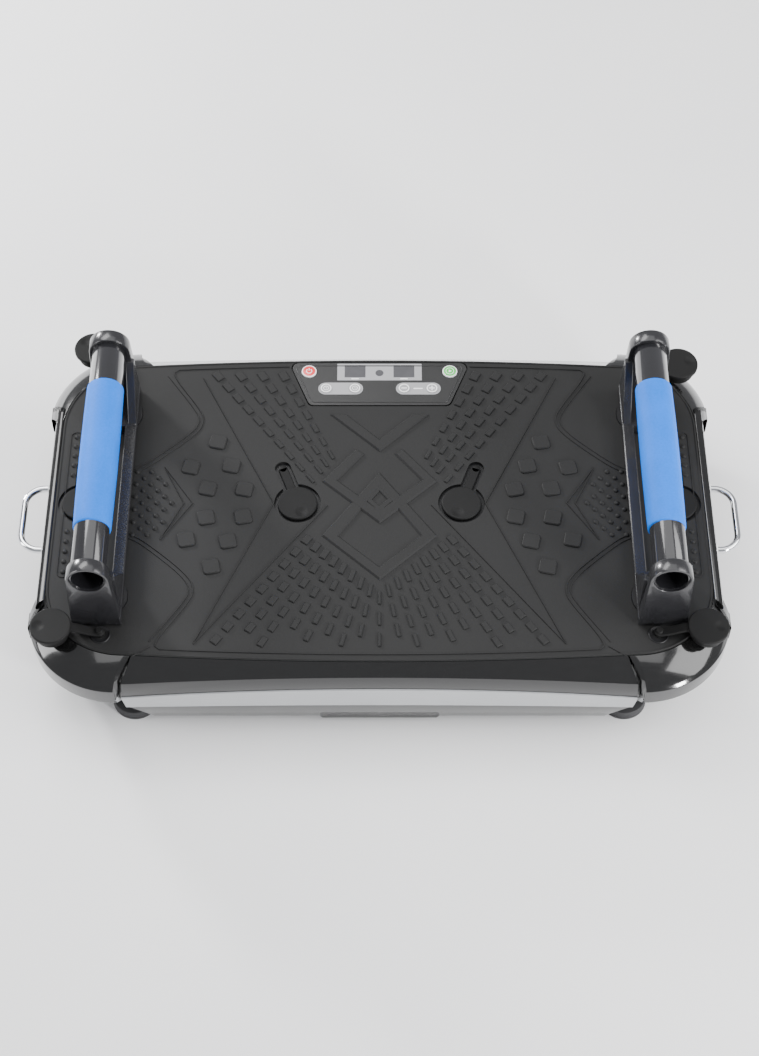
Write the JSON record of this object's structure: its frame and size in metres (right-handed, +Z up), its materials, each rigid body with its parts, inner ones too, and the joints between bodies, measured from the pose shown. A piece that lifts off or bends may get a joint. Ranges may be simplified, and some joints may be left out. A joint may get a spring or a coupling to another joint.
{
  "type": "vibration plate",
  "caption": "Wide rocking vibration plate with an embossed rubber deck, lift-out push-up bars with foam grips, rubber socket plugs, band loops and a rear control panel.",
  "frame": {"origin": "on the floor under the centre of the deck", "axes": "+X to the user's right, +Y towards the control panel at the back, +Z up"},
  "size_m": [0.826, 0.468, 0.233],
  "materials": {
    "mat_rubber": "matt moulded rubber with a fine grain",
    "shell_gloss": "high gloss black ABS",
    "trim_silver": "satin silver lacquer",
    "panel_film": "satin dark overlay film",
    "display_grey": "satin grey film",
    "board_green": "solder mask",
    "button_red": "satin red",
    "button_green": "satin green",
    "button_dark": "satin dark grey",
    "plug_rubber": "matt soft rubber",
    "grip_foam": "matt closed-cell foam",
    "tube_black": "gloss black lacquer",
    "bar_plastic": "gloss black glass-filled nylon",
    "loop_chrome": "bright chrome",
    "collar_white": "satin white nylon",
    "steel_zinc": "zinc plated",
    "pan_black": "powder coat",
    "foot_rubber": "matt black rubber",
    "motor_can": "dull painted steel",
    "housing_black": "satin black"
  },
  "bodies": {
    "base": {"base_pan": "pan_black", "suction_feet": "foot_rubber", "foot_bolts": "steel_zinc", "pivot_brackets": "pan_black", "bearing_blocks": "steel_zinc", "motor_bracket": "steel_zinc", "drive_motor": "motor_can", "drive_belt": "foot_rubber", "rubber_buffers": "foot_rubber", "power_board": "board_green", "service_plate": "housing_black", "mains_inlet": "housing_black"},
    "rocker": {"power_rocker": "button_red"},
    "crank": {"eccentric_shaft": "steel_zinc", "driven_pulley": "housing_black"},
    "rotor": {"motor_rotor": "steel_zinc"},
    "rod": {"connecting_rod": "steel_zinc"},
    "deck": {"deck_plate": "steel_zinc", "deck_cover": "housing_black", "deck_mat": "mat_rubber", "pivot_shaft": "steel_zinc", "deck_hangers": "steel_zinc", "rod_clevis": "steel_zinc", "bar_sockets": "housing_black", "control_panel": "panel_film", "display_frame": "display_grey", "control_board": "board_green", "loop_collars": "collar_white", "front_skirt": "shell_gloss", "back_skirt": "shell_gloss", "front_trim_strip": "trim_silver", "back_trim_strip": "trim_silver", "corner_cap_front_left": "shell_gloss", "corner_cap_front_right": "shell_gloss", "corner_cap_back_left": "shell_gloss", "corner_cap_back_right": "shell_gloss", "side_rail_left": "shell_gloss", "side_rail_right": "shell_gloss", "band_loop_left": "loop_chrome", "band_loop_right": "loop_chrome"},
    "bar_left": {"bar_frame_left": "bar_plastic", "bar_tube_left": "tube_black", "bar_grip_left": "grip_foam"},
    "inner_plug_left_body": {"inner_plug_left": "plug_rubber"},
    "side_plug_left_body": {"side_plug_left": "plug_rubber"},
    "bar_right": {"bar_frame_right": "bar_plastic", "bar_tube_right": "tube_black", "bar_grip_right": "grip_foam"},
    "inner_plug_right_body": {"inner_plug_right": "plug_rubber"},
    "side_plug_right_body": {"side_plug_right": "plug_rubber"},
    "corner_plug_front_left_body": {"corner_plug_front_left": "plug_rubber"},
    "corner_plug_front_right_body": {"corner_plug_front_right": "plug_rubber"},
    "corner_plug_back_left_body": {"corner_plug_back_left": "plug_rubber"},
    "corner_plug_back_right_body": {"corner_plug_back_right": "plug_rubber"},
    "power_button_body": {"power_button": "button_red"},
    "start_button_body": {"start_button": "button_green"},
    "mode_button_body": {"mode_button": "button_dark"},
    "time_button_body": {"time_button": "button_dark"},
    "speed_down_button_body": {"speed_down_button": "button_dark"},
    "speed_up_button_body": {"speed_up_button": "button_dark"}
  },
  "joints": [
    {"name": "deck_rock", "type": "hinge", "parent": "base", "child": "deck", "pos_m": [0, 0, 0.06], "axis": [0, 1, 0], "range_deg": [-1, 1], "stiffness_Nm_per_rad": 400},
    {"name": "crank_spin", "type": "hinge", "parent": "base", "child": "crank", "pos_m": [0.115, 0, 0.064], "axis": [0, 1, 0], "continuous": true},
    {"name": "rotor_spin", "type": "hinge", "parent": "base", "child": "rotor", "pos_m": [0.225, 0, 0.064], "axis": [0, 1, 0], "continuous": true},
    {"name": "rod_turn", "type": "hinge", "parent": "crank", "child": "rod", "pos_m": [0.117, -0.06, 0.064], "axis": [0, 1, 0], "continuous": true},
    {"name": "rocker_tilt", "type": "hinge", "parent": "base", "child": "rocker", "pos_m": [-0.078, 0.2025, 0.042], "axis": [1, 0, 0], "range_deg": [-7, 7]},
    {"name": "bar_left_lift", "type": "slide", "parent": "deck", "child": "bar_left", "axis": [0, 0, 1], "range_m": [0, 0.06]},
    {"name": "inner_plug_left_peel", "type": "hinge", "parent": "deck", "child": "inner_plug_left_body", "pos_m": [-0.11258, 0.0538, 0.1214], "axis": [-0.9397, -0.342, 0], "range_deg": [0, 150]},
    {"name": "side_plug_left_peel", "type": "hinge", "parent": "deck", "child": "side_plug_left_body", "pos_m": [-0.338, 0.05725, 0.1214], "axis": [-1, 0, 0], "range_deg": [0, 50]},
    {"name": "bar_right_lift", "type": "slide", "parent": "deck", "child": "bar_right", "axis": [0, 0, 1], "range_m": [0, 0.06]},
    {"name": "inner_plug_right_peel", "type": "hinge", "parent": "deck", "child": "inner_plug_right_body", "pos_m": [0.11258, 0.0538, 0.1214], "axis": [-0.9397, 0.342, 0], "range_deg": [0, 150]},
    {"name": "side_plug_right_peel", "type": "hinge", "parent": "deck", "child": "side_plug_right_body", "pos_m": [0.338, 0.05725, 0.1214], "axis": [-1, 0, 0], "range_deg": [0, 50]},
    {"name": "corner_plug_front_left_swing", "type": "hinge", "parent": "deck", "child": "corner_plug_front_left_body", "pos_m": [-0.303, -0.174, 0.122], "axis": [0, 0, 1], "range_deg": [0, 90]},
    {"name": "corner_plug_front_right_swing", "type": "hinge", "parent": "deck", "child": "corner_plug_front_right_body", "pos_m": [0.303, -0.174, 0.122], "axis": [0, 0, -1], "range_deg": [0, 90]},
    {"name": "corner_plug_back_left_swing", "type": "hinge", "parent": "deck", "child": "corner_plug_back_left_body", "pos_m": [-0.303, 0.174, 0.122], "axis": [0, 0, -1], "range_deg": [0, 90]},
    {"name": "corner_plug_back_right_swing", "type": "hinge", "parent": "deck", "child": "corner_plug_back_right_body", "pos_m": [0.303, 0.174, 0.122], "axis": [0, 0, 1], "range_deg": [0, 90]},
    {"name": "power_button_press", "type": "slide", "parent": "deck", "child": "power_button_body", "axis": [0, 0, -1], "range_m": [0, 0.0008], "stiffness_N_per_m": 600},
    {"name": "start_button_press", "type": "slide", "parent": "deck", "child": "start_button_body", "axis": [0, 0, -1], "range_m": [0, 0.0008], "stiffness_N_per_m": 600},
    {"name": "mode_button_press", "type": "slide", "parent": "deck", "child": "mode_button_body", "axis": [0, 0, -1], "range_m": [0, 0.0008], "stiffness_N_per_m": 600},
    {"name": "time_button_press", "type": "slide", "parent": "deck", "child": "time_button_body", "axis": [0, 0, -1], "range_m": [0, 0.0008], "stiffness_N_per_m": 600},
    {"name": "speed_down_button_press", "type": "slide", "parent": "deck", "child": "speed_down_button_body", "axis": [0, 0, -1], "range_m": [0, 0.0008], "stiffness_N_per_m": 600},
    {"name": "speed_up_button_press", "type": "slide", "parent": "deck", "child": "speed_up_button_body", "axis": [0, 0, -1], "range_m": [0, 0.0008], "stiffness_N_per_m": 600}
  ],
  "couplings": [
    {"joint": "rotor_spin", "follows": "crank_spin", "ratio": 2},
    {"joint": "rod_turn", "follows": "crank_spin", "ratio": -1}
  ]
}
